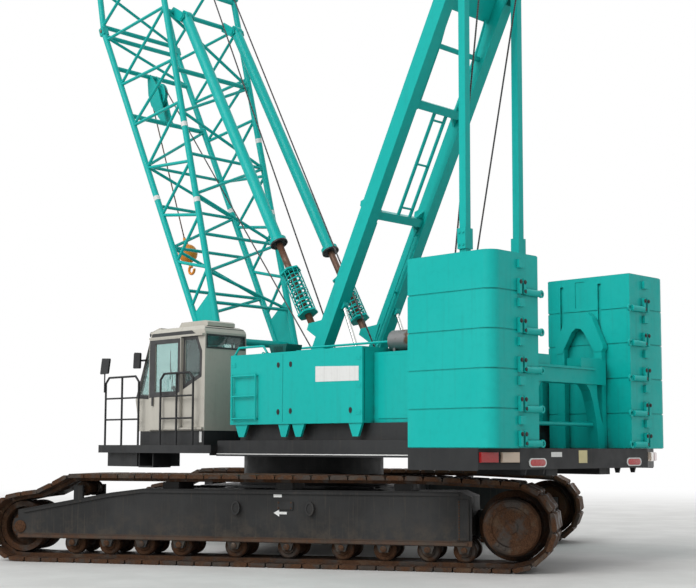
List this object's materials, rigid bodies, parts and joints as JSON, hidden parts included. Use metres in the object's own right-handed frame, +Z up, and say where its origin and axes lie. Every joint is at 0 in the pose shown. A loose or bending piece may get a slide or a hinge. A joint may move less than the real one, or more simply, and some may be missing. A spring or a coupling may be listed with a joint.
{
  "type": "crawler crane",
  "caption": "Lattice boom crane on crawler tracks, with a slewing upper, raised gantry mast, boom, backstops, stays, hook and sliding cab door.",
  "frame": {"origin": "slewing centre on the ground", "axes": "+Z up, the upper machinery and boom face -Y, the cab is on the +X side"},
  "size_m": [9.9729, 13.5088, 17.9369],
  "materials": {
    "teal": "gloss",
    "frame_paint": "satin",
    "track_steel": "rough",
    "cab_paint": "gloss",
    "rod_steel": "oily",
    "bare_steel": "worn",
    "wire_rope": "greasy",
    "orange": "gloss",
    "glass": "clear",
    "seat": "woven",
    "lamp": "clear",
    "engine": "rough",
    "ballast": "gloss"
  },
  "bodies": {
    "undercarriage": {"carbody": "frame_paint", "slew_ring": "frame_paint", "track_frame_l": "frame_paint", "track_frame_r": "frame_paint", "track_l": "track_steel", "track_r": "track_steel", "sprocket_l": "track_steel", "sprocket_r": "track_steel", "idler_l": "track_steel", "idler_r": "track_steel", "rollers_l": "track_steel", "rollers_r": "track_steel"},
    "upper": {"main_frame": "frame_paint", "cab_platform": "frame_paint", "platform_rails": "frame_paint", "cab_shell": "cab_paint", "cab_glass": "glass", "cab_seat": "seat", "mirrors": "frame_paint", "house_left": "teal", "house_right": "teal", "house_rails": "teal", "engine_block": "engine", "exhaust": "bare_steel", "winch_drums": "bare_steel", "tail_frame": "frame_paint", "counterweight_left": "ballast", "counterweight_right": "ballast", "hanger_frame": "teal", "lamps": "lamp", "gantry_mast": "teal", "gantry_links": "teal", "mast_sheaves": "bare_steel"},
    "cab_door": {"cab_door": "cab_paint", "door_glass": "glass"},
    "door_left_front": {"house_left_door_front": "teal"},
    "door_left_rear": {"house_left_door_rear": "teal"},
    "door_right_front": {"house_right_door_front": "teal"},
    "door_right_rear": {"house_right_door_rear": "teal"},
    "boom": {"boom_base": "teal", "boom_tip": "teal", "boom_head": "teal", "guide_sheave": "teal", "head_sheaves": "bare_steel", "overhaul_ball": "orange"},
    "backstop_tubes": {"backstop_tubes": "teal"},
    "backstop_rods": {"backstop_rods": "rod_steel", "backstop_springs": "teal"},
    "stay_block": {"stay_block": "frame_paint"},
    "pendants": {"pendants": "wire_rope"},
    "hook_hanger": {"hook_hanger": "wire_rope"},
    "hook_block": {"hook_block": "orange", "hook_falls": "wire_rope"}
  },
  "joints": [
    {"name": "slew", "type": "hinge", "parent": "undercarriage", "child": "upper", "pos_m": [0, 0, 1.335], "axis": [0, 0, 1], "continuous": true},
    {"name": "boom_luff", "type": "hinge", "parent": "upper", "child": "boom", "pos_m": [0, -1.1, 2.1], "axis": [-1, 0, 0], "range_deg": [-39, 13]},
    {"name": "backstop_swing", "type": "hinge", "parent": "boom", "child": "backstop_tubes", "pos_m": [0, -2.8125, 9.51907], "axis": [1, 0, 0], "range_deg": [-1.36, 1.12]},
    {"name": "backstop_slide", "type": "slide", "parent": "backstop_tubes", "child": "backstop_rods", "axis": [0, 0.4978, -0.8673], "range_m": [-0.51277, 1.4983]},
    {"name": "stay_swing", "type": "hinge", "parent": "upper", "child": "stay_block", "pos_m": [0, 3.75959, 8.99544], "axis": [-1, 0, 0], "range_deg": [-37.15, 13.05]},
    {"name": "stay_reeving", "type": "slide", "parent": "stay_block", "child": "pendants", "axis": [0, -0.7721, 0.6354], "range_m": [-1.86782, 5.56344]},
    {"name": "hook_plumb", "type": "hinge", "parent": "boom", "child": "hook_hanger", "pos_m": [0, -7.82077, 17.51537], "axis": [-1, 0, 0], "range_deg": [-14, 40]},
    {"name": "hoist", "type": "slide", "parent": "hook_hanger", "child": "hook_block", "axis": [0, 0, -1], "range_m": [0, 12]},
    {"name": "cab_door_slide", "type": "slide", "parent": "upper", "child": "cab_door", "axis": [0, 1, 0], "range_m": [0, 0.56]},
    {"name": "door_left_front_swing", "type": "hinge", "parent": "upper", "child": "door_left_front", "pos_m": [1.88, 0.12, 2.5], "axis": [0, 0, -1], "range_deg": [0, 100]},
    {"name": "door_left_rear_swing", "type": "hinge", "parent": "upper", "child": "door_left_rear", "pos_m": [1.88, 2.92, 2.5], "axis": [0, 0, 1], "range_deg": [0, 100]},
    {"name": "door_right_front_swing", "type": "hinge", "parent": "upper", "child": "door_right_front", "pos_m": [-1.88, 0.12, 2.5], "axis": [0, 0, 1], "range_deg": [0, 100]},
    {"name": "door_right_rear_swing", "type": "hinge", "parent": "upper", "child": "door_right_rear", "pos_m": [-1.88, 2.92, 2.5], "axis": [0, 0, -1], "range_deg": [0, 100]}
  ],
  "couplings": [
    {"joint": "backstop_swing", "follows": "boom_luff", "ratio": 0.0093},
    {"joint": "backstop_slide", "follows": "boom_luff", "m_per_rad": -2.1718},
    {"joint": "stay_swing", "follows": "boom_luff", "ratio": 0.927},
    {"joint": "stay_reeving", "follows": "boom_luff", "m_per_rad": -8.144},
    {"joint": "hook_plumb", "follows": "boom_luff", "ratio": -1}
  ]
}
